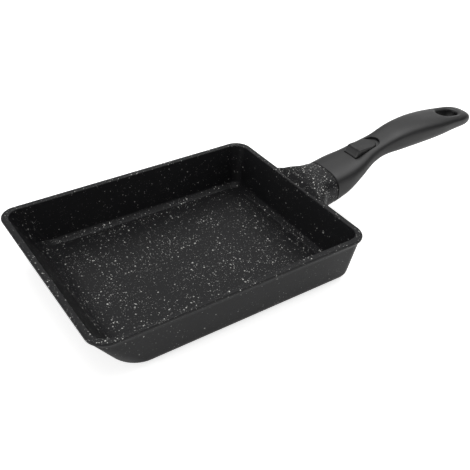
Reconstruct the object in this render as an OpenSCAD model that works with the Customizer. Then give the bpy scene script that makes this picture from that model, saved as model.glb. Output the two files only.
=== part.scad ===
// Rectangular rolled-omelette pan with a cast neck and a pull-off handle.
// The origin is the centre of the underside, +X points along the handle and +Z is up.

/* [Pan] */
// Length of the rim, in line with the handle
rim_length = 198; // [170:1:230]
// Width of the rim
rim_width = 150; // [125:1:180]
// Height of the rim above the table
pan_height = 37; // [32:0.5:45]
// Radius of the rim's outer corners, seen from above
rim_corner = 12; // [10:0.5:18]
// How far the lip stands out from the wall
lip_overhang = 1.9; // [1:0.1:3]
// Thickness of the lip
lip_thickness = 2.8; // [2:0.1:4]
// Thickness of the side walls
wall_thickness = 2.5; // [2.2:0.1:4]
// Lean of the two long walls and of the wall at the handle, in degrees
wall_draft = 7.5; // [4:0.5:10]
// Lean of the sloping wall away from the handle, in degrees
slope_draft = 30; // [10:1:35]
// Thickness of the floor
floor_thickness = 3.7; // [3:0.1:5]
// Outer radius between the wall and the underside
heel_radius = 9; // [4:0.5:11]
// Inner radius between the wall and the floor
floor_radius = 5; // [3:0.5:8]
// Inner radius between the sloping wall and the floor
slope_radius = 22; // [8:1:26]

/* [Base plate] */
// Length of the steel plate under the floor
plate_length = 146; // [110:1:150]
// Width of the steel plate
plate_width = 100; // [70:1:105]
// Corner radius of the steel plate
plate_corner = 12; // [6:1:20]
// Thickness of the steel plate
plate_thickness = 0.8; // [0.5:0.1:1.2]

/* [Neck and tongue] */
// Distance from the rim's end to the seam
neck_length = 22; // [18:0.5:30]
// Height of the seam's centre above the table
seam_height = 30; // [28:0.5:34]
// Upward tilt of the tongue and of everything that slides on it, in degrees
slide_tilt = 12; // [10:0.5:14]
// Lean of the seam towards the pan at its top, in degrees
seam_tilt = 0; // [-4:1:12]
// Width of the neck where it meets the pan
root_width = 68; // [50:1:80]
// Height of the neck's underside at the wall
root_floor = 9; // [8:0.5:14]
// Length of the straight collar ahead of the seam
collar_length = 10.5; // [8:0.5:14]
// Length of the tongue beyond the seam
tongue_length = 30; // [26:1:31]
// Width of the tongue
tongue_width = 15.4; // [13:0.2:16]
// Thickness of the tongue
tongue_thickness = 5; // [4.5:0.1:5.4]
// Height of the tongue's centre above the seam's centre
tongue_rise = 3.2; // [3:0.1:3.5]

/* [Handle] */
// Length of the handle, from the seam to its end
handle_length = 148.5; // [144:0.5:190]
// Gap between the collar and the handle
seam_gap = 0.4; // [0.2:0.1:1]
// Width of the handle at the seam
mouth_width = 36.7; // [35:0.1:42]
// Height of the handle at the seam
mouth_height = 26.8; // [26:0.2:32]
// Distance from the seam to the waist
waist_at = 51; // [49:0.5:54]
// Width of the waist
waist_width = 22.4; // [22:0.2:26]
// Height of the waist
waist_height = 13.7; // [13.6:0.1:18]
// Distance from the seam to the thickest part of the grip
grip_at = 88; // [80:1:100]
// Width of the grip
grip_width = 28.5; // [24:0.5:34]
// Height of the grip
grip_height = 18.8; // [16:0.2:24]
// Width of the handle at the hanging hole
tail_width = 26; // [21:0.2:30]
// Height of the handle at the hanging hole
tail_height = 13.4; // [11:0.2:18]
// Distance from the handle's end to the centre of the hanging hole
hole_setback = 22; // [18:0.5:40]
// Length of the hanging hole
hole_length = 20.5; // [13:0.5:24]
// Width of the hanging hole
hole_width = 11; // [7:0.5:13]

/* [Lock] */
// Sliding clearance on each side of the tongue
tongue_clearance = 0.3; // [0.2:0.05:0.4]
// Sheet thickness of the sleeve
sleeve_sheet = 1; // [0.8:0.1:1.2]
// Sheet thickness of the latch leaf
leaf_sheet = 0.5; // [0.4:0.05:0.6]
// Width of the latch leaf
leaf_width = 11; // [9:0.5:11.4]
// Depth of the notch in the tongue
notch_depth = 1.1; // [0.9:0.1:1.3]
// Travel of the release button
button_travel = 3; // [2.5:0.5:3.5]
// Width of the release button
button_width = 13; // [11:0.5:13.5]
// Length of the release button
button_length = 23.6; // [22:0.2:24]
// Height of the button's front edge above the carrier
button_height = 6.5; // [4.5:0.1:8]
// Thickness of the carrier under the button
carrier_thickness = 2; // [1.6:0.1:2.2]
// Running clearance of a pin in its hole
pin_clearance = 0.05; // [0.02:0.01:0.1]
// Clearance round covers, buttons and inserts
case_clearance = 0.2; // [0.1:0.05:0.3]

/* [Spring and screws] */
// Mean diameter of the return spring
spring_diameter = 4.6; // [4:0.1:4.8]
// Diameter of the spring's wire
spring_wire = 0.6; // [0.4:0.05:0.7]
// Number of turns of the return spring
spring_turns = 8; // [5:1:10]
// Length of the return spring at rest
spring_length = 15; // [13:0.5:18]
// Diameter of the pin inside the spring
guide_diameter = 2.5; // [2:0.1:2.8]
// Diameter of the screw that holds the sleeve
sleeve_screw_diameter = 3; // [2.5:0.1:3.5]
// Diameter of the small screws
small_screw_diameter = 2.2; // [1.8:0.1:2.5]
// Diameter of the rivets that hold the leaf
rivet_diameter = 2; // [1.6:0.1:2.4]

/* [Hidden] */
$fn = 48;

seam_x = rim_length / 2 + neck_length;
corner_steps = 8;
sides = 40;
cut = 60;

// Places along the slide, measured from the seam
sleeve_end = tongue_length + 1;
leaf_start = 4;
nose_at = 17;
nose_half = 1.1;
bar_start = 20.5;
bar_end = 22.7;
leaf_end = bar_end + button_travel + 0.5;
arm_end = 30;
button_start = 27.7;
button_end = button_start + button_length;
tab_end = button_end - 0.9;
tab_start = tab_end - 1.5;
slot_end = button_end + button_travel + 2 * case_clearance;
apron_end = slot_end + 0.8;
spring_start = tab_end + spring_wire / 2 + 0.05;
spring_stop = spring_start + spring_length;
pocket_end = spring_stop + spring_wire / 2 + 0.05;
guide_start = tab_start - 1.5;
guide_end = pocket_end + 4;
cover_start = 33.5;
cover_end = tab_start - 0.2;
ledge_end = cover_start + 4.7;
cover_screw_at = cover_start + 2.5;
cover_screw_y = 4.4;
cover_width = 15;
peg_at = button_start + 6;
peg_diameter = 3;
button_screw_at = button_start + 12.3;
sleeve_screw_at = 12;
rivet_at = 7;
rivet_y = 3;
lip_reach = 2.5;

// Heights across the slide, measured from the seam's centre
tongue_low = tongue_rise - tongue_thickness / 2;
tongue_high = tongue_rise + tongue_thickness / 2;
sleeve_low = tongue_low - tongue_clearance - sleeve_sheet;
sleeve_high = tongue_high + tongue_clearance + sleeve_sheet;
sleeve_half = tongue_width / 2 + tongue_clearance + sleeve_sheet;
sleeve_start = seam_gap + 0.7 + sleeve_high * tan(slide_tilt - seam_tilt);
chamber_high = sleeve_high + 3.5;
carrier_high = chamber_high - 0.1;
carrier_low = carrier_high - carrier_thickness;
bar_low = sleeve_high + 0.25;
bar_high = chamber_high - 1.1;
ledge_low = sleeve_low + 3.1;
chamber_half = 8.4;
carrier_half = chamber_half - case_clearance;
guide_rise = carrier_low - guide_diameter / 2 - 0.55;
head_low = sleeve_high + 0.2;
screw_head = 1.3;
sleeve_head_high = sleeve_low - 4.4;
cover_seat = sleeve_low + 1;
cover_tip = ledge_low + 3.7;
small_head = 4;
small_hole = small_screw_diameter / 2 + pin_clearance;
sleeve_head = 6;
button_foot = chamber_high + 2;
button_rear = chamber_high + 2.9;
button_screw_tip = chamber_high + 2.6;
apron_high = chamber_high + 1.5;

// Distance from the seam, width, height and rise of the centre of each handle section
tail_at = handle_length - hole_setback;
handle_sections = [
    [0, mouth_width, mouth_height, 0],
    [13, mouth_width - 0.6, mouth_height - 3.2, 3.8],
    [26, mouth_width - 5.8, mouth_height - 8.5, 8.8],
    [39, waist_width + 2.1, waist_height + 1.1, 14.7],
    [waist_at, waist_width, waist_height, 18],
    [(waist_at + grip_at) / 2, (waist_width + grip_width) / 2 + 0.5,
        (waist_height + grip_height) / 2 + 1.6, 20.8],
    [grip_at, grip_width, grip_height, 22],
    [(grip_at + tail_at) / 2, (grip_width + tail_width) / 2 + 1.8,
        (grip_height + tail_height) / 2 + 0.7, 22.15],
    [tail_at, tail_width, tail_height, 21.9],
    [handle_length, tail_width - 3.6, tail_height - 3.3, 20.65]];
handle_end_radius = 14.9;
end_taper = 0.39;
end_narrowing = 0.5;

// Distance from the seam, width, top and underside of each neck section
rim_rise = pan_height - seam_height;
root_drop = root_floor - seam_height;
collar_top = mouth_height / 2 + 0.3;
neck_sections = [
    [-neck_length - 3.2, root_width, rim_rise - 0.6, root_drop],
    [-neck_length + 0.2, root_width - 2, rim_rise + 2.8, root_drop + 0.6],
    [-neck_length + 3, root_width - 12, rim_rise + 4.4, root_drop + 1.2],
    [-neck_length + 6, root_width - 18.8, collar_top - 0.8, root_drop + 1.8],
    [-collar_length, mouth_width + 2.8, collar_top, -mouth_height / 2 - 2.8],
    [-collar_length + 1.2, mouth_width + 1.7, collar_top, -mouth_height / 2 - 2.2],
    [0, mouth_width - 0.4, mouth_height / 2 - 0.1, -mouth_height / 2 + 0.2]];

// Slope of a curve of knots at one knot, and the curve's value at x
function slope(k, c, i) = let (a = max(i - 1, 0), b = min(i + 1, len(k) - 1))
    (k[b][c] - k[a][c]) / (k[b][0] - k[a][0]);
function piece(k, x) = max(0, min(len(k) - 2, len([for (p = k) if (p[0] <= x) 1]) - 1));
function curve(k, c, x) = let (i = piece(k, x), h = k[i + 1][0] - k[i][0], t = (x - k[i][0]) / h)
    (2 * pow(t, 3) - 3 * pow(t, 2) + 1) * k[i][c] + (pow(t, 3) - 2 * pow(t, 2) + t) * h * slope(k, c, i)
    + (3 * pow(t, 2) - 2 * pow(t, 3)) * k[i + 1][c] + (pow(t, 3) - pow(t, 2)) * h * slope(k, c, i + 1);

// A closed ring that is squarer above its middle than below, between a top and a bottom point
function egg_ring(top, bottom, width, upper, lower) = [for (j = [0 : sides - 1])
    let (a = 360 * j / sides, n = sin(a) >= 0 ? upper : lower,
        u = sign(cos(a)) * pow(abs(cos(a)), 2 / n), w = sign(sin(a)) * pow(abs(sin(a)), 2 / n))
    [(top[0] + bottom[0]) / 2 + w * (top[0] - bottom[0]) / 2, u * width / 2,
        (top[1] + bottom[1]) / 2 + w * (top[1] - bottom[1]) / 2]];

// A rounded rectangle that follows one profile on three sides and another at the sloping end
function tray_ring(p, q, radius) = [for (turn = [0 : 3], s = [0 : corner_steps])
    let (a = 90 * turn + 90 * s / corner_steps, far = turn == 1 || turn == 2, side = turn < 2 ? 1 : -1,
        share = pow(max(0, -cos(a)), 2), r = radius + (far ? slope_corner(q[1]) : 0))
    [far ? -rim_length / 2 + q[0] + r + r * cos(a) : rim_length / 2 - p[0] - r + r * cos(a),
        side * (rim_width / 2 - p[0] - r) + r * sin(a), p[1] * (1 - share) + q[1] * share]];

// Triangles that join rings of equal length and close both ends
function skin_faces(rings, n) = concat(
    [for (j = [1 : n - 2]) [0, j, j + 1]],
    [for (i = [0 : rings - 2], j = [0 : n - 1]) [i * n + j, (i + 1) * n + j, i * n + (j + 1) % n]],
    [for (i = [0 : rings - 2], j = [0 : n - 1])
        [i * n + (j + 1) % n, (i + 1) * n + j, (i + 1) * n + (j + 1) % n]],
    [for (j = [1 : n - 2]) [(rings - 1) * n, (rings - 1) * n + j + 1, (rings - 1) * n + j]]);

module skin(rings) {
    polyhedron(points = [for (r = rings) each r], faces = skin_faces(len(rings), len(rings[0])));
}

// Puts its children in the frame of the slide: origin at the seam, X along the tongue
module on_slide() {
    translate([seam_x, 0, seam_height])
        rotate([0, -slide_tilt, 0])
            children();
}

// A box between two corners, centred across the pan
module bar(from, to, half, low, high) {
    translate([from, -half, low])
        cube([to - from, 2 * half, high - low]);
}

// An upright cylinder in the slide's frame
module post(at, side, low, high, radius) {
    translate([at, side, low])
        cylinder(h = high - low, r = radius);
}

// A cylinder along the slide
module rod(from, to, rise, radius) {
    translate([from, 0, rise])
        rotate([0, 90, 0])
            cylinder(h = to - from, r = radius);
}

// Extrudes an outline drawn along and across the slide to a width centred across the pan
module side_profile(width) {
    translate([0, width / 2, 0])
        rotate([90, 0, 0])
            linear_extrude(height = width)
                children();
}

// Inset and height of each step of a wall, outside from the base up, then inside down to the floor
lip_round = lip_thickness / 2;
inner_inset = lip_overhang + wall_thickness;
function wall_profile(draft, heel, fillet) =
    let (heel_top = heel * (1 - sin(draft)), fillet_top = floor_thickness + fillet * (1 - sin(draft)),
        heel_foot = lip_overhang + (pan_height - lip_thickness - heel_top) * tan(draft),
        fillet_foot = inner_inset + (pan_height - 1 - fillet_top) * tan(draft),
        heel_middle = heel_foot + heel * cos(draft), fillet_middle = fillet_foot + fillet * cos(draft))
    concat(
        [for (s = [0 : 6]) let (a = s / 6 * (90 - draft))
            [heel_middle - heel * sin(a), heel * (1 - cos(a))]],
        [[lip_overhang, pan_height - lip_thickness]],
        [for (a = [-60 : 30 : 90])
            [lip_round * (1 - cos(a)), pan_height - lip_round + lip_round * sin(a)]],
        [[inner_inset - 0.7, pan_height], [inner_inset - 0.2, pan_height - 0.3],
            [inner_inset, pan_height - 1]],
        [for (s = [6 : -1 : 0]) let (a = s / 6 * (90 - draft))
            [fillet_middle - fillet * sin(a), floor_thickness + fillet * (1 - cos(a))]]);

// The corners beside the sloping wall grow rounder towards the base by this radius
slope_corner_gain = 10;
function slope_corner(z) = slope_corner_gain * max(0, 1 - z / (pan_height - lip_thickness));

module tray() {
    steep = wall_profile(wall_draft, heel_radius, floor_radius);
    sloped = wall_profile(slope_draft, heel_radius + 8, slope_radius);
    skin([for (i = [0 : len(steep) - 1])
        tray_ring(steep[i], sloped[i], max(rim_corner - 0.6 * steep[i][0], 3))]);
}

// A section's top lies ahead of its bottom by this much a millimetre
seam_lean = tan(seam_tilt);

// Squareness of the neck's and the handle's sections above and below their middle
upper_square = 3;
lower_square = 2.1;

module neck() {
    wall_x = -neck_length - lip_overhang - wall_thickness / 2;
    steps = 14;
    skin([for (i = [0 : steps + 1])
        let (s = min(i, steps) / steps, last = i > steps, back = last ? 0 : -0.5 * s,
            trim = last ? 0.5 : 0,
            top_z = curve(neck_sections, 2, wall_x * (1 - s)) - trim,
            low_z = curve(neck_sections, 3, wall_x * (1 - s)) + trim,
            top_x = wall_x * (1 - s) - s * top_z * seam_lean,
            low_x = (wall_x - (pan_height - root_floor) * tan(wall_draft)) * (1 - s) - s * low_z * seam_lean,
            width = curve(neck_sections, 1, wall_x * (1 - s)) - 2 * trim)
        egg_ring([seam_x + top_x + back, seam_height + top_z], [seam_x + low_x + back, seam_height + low_z],
            width, upper_square, lower_square)]);
}

module tongue() {
    edge = 1;
    difference() {
        side_profile(tongue_width)
            polygon([[-4, tongue_low], [tongue_length - edge, tongue_low],
                [tongue_length, tongue_low + edge], [tongue_length, tongue_high - edge],
                [tongue_length - edge, tongue_high], [-4, tongue_high]]);
        bar(nose_at - nose_half - 0.4, nose_at + nose_half + 0.4, leaf_width / 2 + 0.3,
            tongue_high - notch_depth, tongue_high + 1);
    }
}

module plate_outline(grow) {
    length = plate_length + 2 * grow;
    width = plate_width + 2 * grow;
    corner = plate_corner + grow;
    square([length, width - 2 * corner], center = true);
    square([length - 2 * corner, width], center = true);
    for (x = [-1, 1], y = [-1, 1])
        translate([x * (length / 2 - corner), y * (width / 2 - corner)])
            circle(r = corner);
}

module pan_body() {
    color("#2b2b2d")
        difference() {
            union() {
                tray();
                neck();
                on_slide() tongue();
            }
            translate([0, 0, -1])
                linear_extrude(height = plate_thickness + 1)
                    plate_outline(0.1);
        }
}

module induction_plate() {
    color("#b9bbbd")
        linear_extrude(height = plate_thickness)
            plate_outline(0);
}

// The handle's outer skin, from its rounded mouth to its rounded end
module handle_skin() {
    steps = 24;
    soft = 0.6;
    skin(concat(
        [for (edge = [0, 1]) handle_ring(seam_gap + edge * soft, (1 - edge) * soft, 1, 1)],
        [for (i = [1 : steps]) let (x = i * (handle_length - handle_end_radius) / steps)
            handle_ring(max(x, seam_gap + 2 * soft), 0, 1, 1)],
        [for (a = [15, 30, 45, 60, 72, 80, 85])
            handle_ring(handle_length - handle_end_radius * (1 - sin(a)), 0,
                pow(cos(a), end_narrowing), pow(cos(a), end_taper))]));
}

function handle_ring(x, trim, narrow, low) =
    let (h = curve(handle_sections, 2, x) * low / 2 - trim, c = curve(handle_sections, 3, x),
        w = curve(handle_sections, 1, x) * narrow - 2 * trim,
        lean = seam_lean * max(0, 1 - x / waist_at))
    egg_ring([seam_x + x - (c + h) * lean, seam_height + c + h],
        [seam_x + x - (c - h) * lean, seam_height + c - h], w, upper_square, lower_square);

// The hanging hole's outline, long in line with the handle
module hole_outline() {
    square([hole_length - hole_width, hole_width], center = true);
    for (x = [-1, 1])
        translate([x * (hole_length - hole_width) / 2, 0])
            circle(d = hole_width);
}

// The slot that the button moves in, and the slit behind it that takes the button's apron
module button_slot() {
    half = button_width / 2 + case_clearance;
    slit_end = apron_end + button_travel + case_clearance;
    bar(button_start - case_clearance, slot_end - half, half, carrier_high, cut);
    post(slot_end - half, 0, carrier_high, cut, half);
    bar(slot_end - half, slit_end - half, half, carrier_high, apron_high + case_clearance);
    post(slit_end - half, 0, carrier_high, apron_high + case_clearance, half);
}

// All that is cut from the handle for the sleeve, the latch, the button and the spring
module handle_chambers() {
    tab_low = guide_rise - spring_diameter / 2 - spring_wire / 2 - 0.5;
    bar(-5, sleeve_end + 0.1, sleeve_half + 0.05, sleeve_low - 0.05, sleeve_high + 0.05);
    bar(-5, slot_end + 0.2, chamber_half, sleeve_high, chamber_high);
    bar(ledge_end, slot_end + 0.2, 6.2, ledge_low - 0.05, sleeve_high + 1);
    bar(cover_start - case_clearance, cover_end + case_clearance, cover_width / 2 + case_clearance,
        -cut, ledge_low);
    for (y = [-1, 1])
        post(cover_screw_at, y * cover_screw_y, 0, cover_tip + 0.3, small_hole);
    post(sleeve_screw_at, 0, -cut, sleeve_low, sleeve_screw_diameter / 2 + pin_clearance);
    post(sleeve_screw_at, 0, -cut, sleeve_head_high, sleeve_head / 2 + case_clearance);
    rod(slot_end - 2, pocket_end, guide_rise, spring_diameter / 2 + spring_wire / 2 + 0.5);
    rod(slot_end - 2, guide_end, guide_rise, guide_diameter / 2 + pin_clearance);
    button_slot();
}

module handle_body() {
    color("#333436")
        difference() {
            handle_skin();
            on_slide() handle_chambers();
            translate([seam_x + tail_at, 0, seam_height - cut / 2])
                linear_extrude(height = 2 * cut)
                    hole_outline();
        }
}

// The outer skin of the handle, cut down to the plate that closes the chamber from below
module underside_cover() {
    color("#2f3032")
        difference() {
            union() {
                intersection() {
                    handle_skin();
                    on_slide() bar(cover_start, cover_end, cover_width / 2, -cut, ledge_low);
                }
                on_slide() {
                    bar(cover_end - 3, cover_end, 6, ledge_low - 0.5, ledge_low + 0.9);
                    bar(cover_end - 0.1, cover_end + lip_reach, 6, ledge_low, ledge_low + 0.9);
                }
            }
            on_slide()
                for (y = [-1, 1]) {
                    post(cover_screw_at, y * cover_screw_y, -cut, cut, small_hole);
                    post(cover_screw_at, y * cover_screw_y, -cut, cover_seat,
                        small_head / 2 + case_clearance);
                }
        }
}

// Screw driven upwards, with a flat round head and a cross recess
module screw(diameter, head, head_low, seat, tip) {
    difference() {
        union() {
            cylinder_between(head_low, seat, head / 2);
            cylinder_between(seat - 0.1, tip, diameter / 2);
        }
        for (turn = [0, 90])
            rotate([0, 0, turn])
                translate([0, 0, head_low])
                    cube([0.6 * head, 0.16 * head, 0.9], center = true);
    }
}

module cylinder_between(low, high, radius) {
    translate([0, 0, low])
        cylinder(h = high - low, r = radius);
}

module cover_screws() {
    color("#8c8e90")
        on_slide()
            for (y = [-1, 1])
                translate([cover_screw_at, y * cover_screw_y, 0])
                    screw(small_screw_diameter, small_head, cover_seat - screw_head, cover_seat, cover_tip);
}

// Square steel tube with a window for the nose of the leaf
module lock_sleeve() {
    inner = sleeve_half - sleeve_sheet;
    color("#9a9c9e")
        on_slide()
            difference() {
                bar(sleeve_start, sleeve_end, sleeve_half, sleeve_low, sleeve_high);
                bar(-cut, cut, inner, sleeve_low + sleeve_sheet, sleeve_high - sleeve_sheet);
                bar(nose_at - nose_half - 0.5, nose_at + nose_half + 0.6, leaf_width / 2 + 0.3,
                    sleeve_high - sleeve_sheet - 0.2, cut);
                post(sleeve_screw_at, 0, -cut, tongue_low, sleeve_screw_diameter / 2 + pin_clearance);
                for (y = [-1, 1])
                    post(rivet_at, y * rivet_y, tongue_high, cut, rivet_diameter / 2 + pin_clearance);
            }
}

module sleeve_screw() {
    color("#8c8e90")
        on_slide()
            translate([sleeve_screw_at, 0, 0])
                screw(sleeve_screw_diameter, sleeve_head, sleeve_head_high - 2, sleeve_head_high,
                    sleeve_low + sleeve_sheet - 0.1);
}

// Direction of one stretch of a line of points, and a point pushed square to the line
function heading(p, i) = let (d = p[i + 1] - p[i]) d / norm(d);
function pushed(p, i, by) = let (a = heading(p, max(i - 1, 0)), b = heading(p, min(i, len(p) - 2)),
    m = (a + b) / norm(a + b)) p[i] + by / (m * a) * [-m[1], m[0]];

// Centre line of the leaf: flat on the sleeve, down through the window, over the bar and down again
leaf_line = [[leaf_start, sleeve_high + leaf_sheet / 2],
    [nose_at - nose_half - 0.2, sleeve_high + leaf_sheet / 2],
    [nose_at - nose_half + 0.4, tongue_high - notch_depth + 0.15 + leaf_sheet / 2],
    [nose_at + nose_half - 0.4, tongue_high - notch_depth + 0.15 + leaf_sheet / 2],
    [bar_start - 2.1, sleeve_high + 0.6],
    [bar_start - 0.3, bar_high + 0.35 + leaf_sheet / 2],
    [bar_end + 0.2, bar_high + 0.35 + leaf_sheet / 2],
    [leaf_end, sleeve_high + 0.4 + leaf_sheet]];

module latch_leaf() {
    last = len(leaf_line) - 1;
    color("#a9aaac")
        on_slide()
            difference() {
                side_profile(leaf_width)
                    polygon(concat([for (i = [0 : last]) pushed(leaf_line, i, leaf_sheet / 2)],
                        [for (i = [last : -1 : 0]) pushed(leaf_line, i, -leaf_sheet / 2)]));
                for (y = [-1, 1])
                    post(rivet_at, y * rivet_y, tongue_high, cut, rivet_diameter / 2 + pin_clearance);
            }
}

module leaf_rivets() {
    color("#8c8e90")
        on_slide()
            for (y = [-1, 1])
                translate([rivet_at, y * rivet_y, 0]) {
                    cylinder_between(sleeve_high - sleeve_sheet, sleeve_high + leaf_sheet + 0.1,
                        rivet_diameter / 2);
                    cylinder_between(sleeve_high + leaf_sheet, sleeve_high + leaf_sheet + 0.7,
                        0.9 * rivet_diameter);
                }
}

// Thumb button: steep face towards the pan, nearly level top, round rear and an apron that closes the slot
module release_button() {
    half = button_width / 2;
    front = carrier_high + button_height;
    color("#2d2e30")
        on_slide()
            difference() {
                union() {
                    intersection() {
                        side_profile(2 * button_width)
                            polygon([[button_start, carrier_high], [button_start, button_foot],
                                [button_start + 3.6, front - 0.5], [button_start + 4.8, front],
                                [button_end - 2, button_rear], [button_end, button_rear - 0.8],
                                [button_end, carrier_high]]);
                        translate([0, 0, carrier_high]) {
                            bar(button_start, button_end - half, half, 0, cut);
                            post(button_end - half, 0, 0, cut, half);
                        }
                    }
                    post(peg_at, 0, carrier_low, carrier_high + 1, peg_diameter / 2);
                    bar(button_end - half - 1, apron_end - half, half, chamber_high + 0.1, apron_high);
                    post(apron_end - half, 0, chamber_high + 0.1, apron_high, half);
                }
                post(button_screw_at, 0, -cut, button_screw_tip + 0.4, small_hole);
            }
}

// Slide under the button: a plate, two arms with the bar that lifts the leaf, and the spring's tab
module button_carrier() {
    arm = 1.8;
    color("#3c3d40")
        on_slide()
            difference() {
                union() {
                    bar(arm_end, tab_end, carrier_half, carrier_low, carrier_high);
                    for (y = [-1, 1])
                        translate([0, y * (carrier_half - arm / 2), 0])
                            bar(bar_start, arm_end + 1, arm / 2, carrier_low, carrier_high);
                    bar(bar_start, bar_end, carrier_half, bar_low, bar_high);
                    bar(tab_start, tab_end, 4, guide_rise - spring_diameter / 2 - spring_wire / 2,
                        carrier_low + 0.1);
                }
                post(peg_at, 0, -cut, cut, peg_diameter / 2 + pin_clearance);
                post(button_screw_at, 0, -cut, cut, small_hole);
                rod(tab_start - 1, tab_end + 1, guide_rise, guide_diameter / 2 + pin_clearance);
            }
}

module button_screw() {
    color("#8c8e90")
        on_slide()
            translate([button_screw_at, 0, 0])
                screw(small_screw_diameter, small_head, head_low, carrier_low, button_screw_tip);
}

// One unbroken tube of wire that turns steadily round the guide pin
module return_spring() {
    rings = 8 * spring_turns;
    wire_sides = 6;
    rise = spring_length / rings;
    color("#b0b2b4")
        on_slide()
            translate([spring_start, 0, guide_rise])
                skin([for (i = [0 : rings]) let (a = 45 * i) [for (j = [0 : wire_sides - 1])
                    let (b = -360 * j / wire_sides, r = (spring_diameter + spring_wire * cos(b)) / 2)
                    [i * rise + spring_wire * sin(b) / 2, r * cos(a), r * sin(a)]]]);
}

module spring_guide_pin() {
    color("#8c8e90")
        on_slide()
            rod(guide_start, guide_end - 0.2, guide_rise, guide_diameter / 2);
}

// Least clear gap between neighbouring turns of the spring, for the record of the form
echo(spring_gap = spring_length / spring_turns - spring_wire);

pan_body();
induction_plate();
handle_body();
underside_cover();
cover_screws();
lock_sleeve();
sleeve_screw();
latch_leaf();
leaf_rivets();
release_button();
button_carrier();
button_screw();
return_spring();
spring_guide_pin();
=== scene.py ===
from math import cos, pi, radians, sin, tan

import bmesh
import bpy
from mathutils import Matrix, Vector
from mathutils.bvhtree import BVHTree


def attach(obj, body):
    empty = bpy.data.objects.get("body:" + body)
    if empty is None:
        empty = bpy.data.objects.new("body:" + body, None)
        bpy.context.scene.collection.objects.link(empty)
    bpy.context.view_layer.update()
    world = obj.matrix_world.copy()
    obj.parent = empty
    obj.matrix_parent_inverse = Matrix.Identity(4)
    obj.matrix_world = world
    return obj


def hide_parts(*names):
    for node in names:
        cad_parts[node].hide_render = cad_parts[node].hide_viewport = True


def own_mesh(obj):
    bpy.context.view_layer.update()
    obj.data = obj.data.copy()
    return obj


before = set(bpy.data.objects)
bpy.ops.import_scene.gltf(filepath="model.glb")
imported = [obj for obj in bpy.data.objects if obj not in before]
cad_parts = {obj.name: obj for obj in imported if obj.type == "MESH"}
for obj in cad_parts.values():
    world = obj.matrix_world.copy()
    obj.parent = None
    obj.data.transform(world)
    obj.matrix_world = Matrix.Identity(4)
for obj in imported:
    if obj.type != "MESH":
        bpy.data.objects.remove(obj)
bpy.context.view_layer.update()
print("frame loaded:", ", ".join(sorted(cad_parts)))

mm = 0.001
scene = bpy.context.scene

# Camera, light and floor

# Yaw and pitch are of the line of sight; the lens is for a 36 mm wide square frame
photoView = {"place": (-199.2, -333.5, 314.7), "yaw": 0.9414, "pitch": 0.6336, "roll": 0.0552, "lens": 55.265}


def aimCamera(view):
    cy, sy, cp, sp = cos(view["yaw"]), sin(view["yaw"]), cos(view["pitch"]), sin(view["pitch"])
    ahead = Vector((cy * cp, sy * cp, -sp))
    right = Vector((sy, -cy, 0))
    up = right.cross(ahead)
    tiltedRight = cos(view["roll"]) * right + sin(view["roll"]) * up
    tiltedUp = -sin(view["roll"]) * right + cos(view["roll"]) * up
    data = bpy.data.cameras.new("photoCamera")
    data.lens, data.sensor_width = view["lens"], 36
    data.clip_start, data.clip_end = 0.01, 20
    camera = bpy.data.objects.new("photoCamera", data)
    turn = Matrix((tiltedRight, tiltedUp, -ahead)).transposed().to_4x4()
    camera.matrix_world = Matrix.Translation([c * mm for c in view["place"]]) @ turn
    scene.collection.objects.link(camera)
    scene.camera = camera


aimCamera(photoView)
scene.view_settings.view_transform = "Standard"


def hexColour(code):
    channels = [int(code[i:i + 2], 16) / 255 for i in (1, 3, 5)]
    return [c / 12.92 if c <= 0.04045 else ((c + 0.055) / 1.055) ** 2.4 for c in channels] + [1]


# A node with its settings; what goes into a socket is a value, a node or a node with the name of its output
def addNode(tree, kind, settings=None, inputs=None):
    node = tree.nodes.new(kind)
    for name, value in (settings or {}).items():
        setattr(node, name, value)
    for socket, value in (inputs or {}).items():
        if isinstance(value, bpy.types.Node):
            tree.links.new(value.outputs[0], node.inputs[socket])
        elif isinstance(value, tuple) and isinstance(value[0], bpy.types.Node):
            tree.links.new(value[0].outputs[value[1]], node.inputs[socket])
        else:
            node.inputs[socket].default_value = value
    return node


studio = {
    "fill": 0.09,  # what the dim room gives from all round
    "softness": 11,  # how fast a softbox fades from its middle, as a power of the cosine
    "softboxes": [  # direction in degrees round from the handle, height in degrees above the floor, strength
        (36, 8, 0.62), (144, 8, 0.85), (180, 8, 2.8), (252, 8, 0.5), (288, 8, 1.1), (67, 34, 0.2),
        (0, 61, 1.5), (72, 61, 1.15), (0, 88, 1.4)],
    "floorGlow": 0.72,  # lifts the floor to white for the eye, and leaves the shadow
    "floorGloss": 0.2,  # the same for what gloss mirrors
    "floorHalf": 6,  # half the width of the paper in metres
    "paper": "#f4f4f3"}


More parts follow.
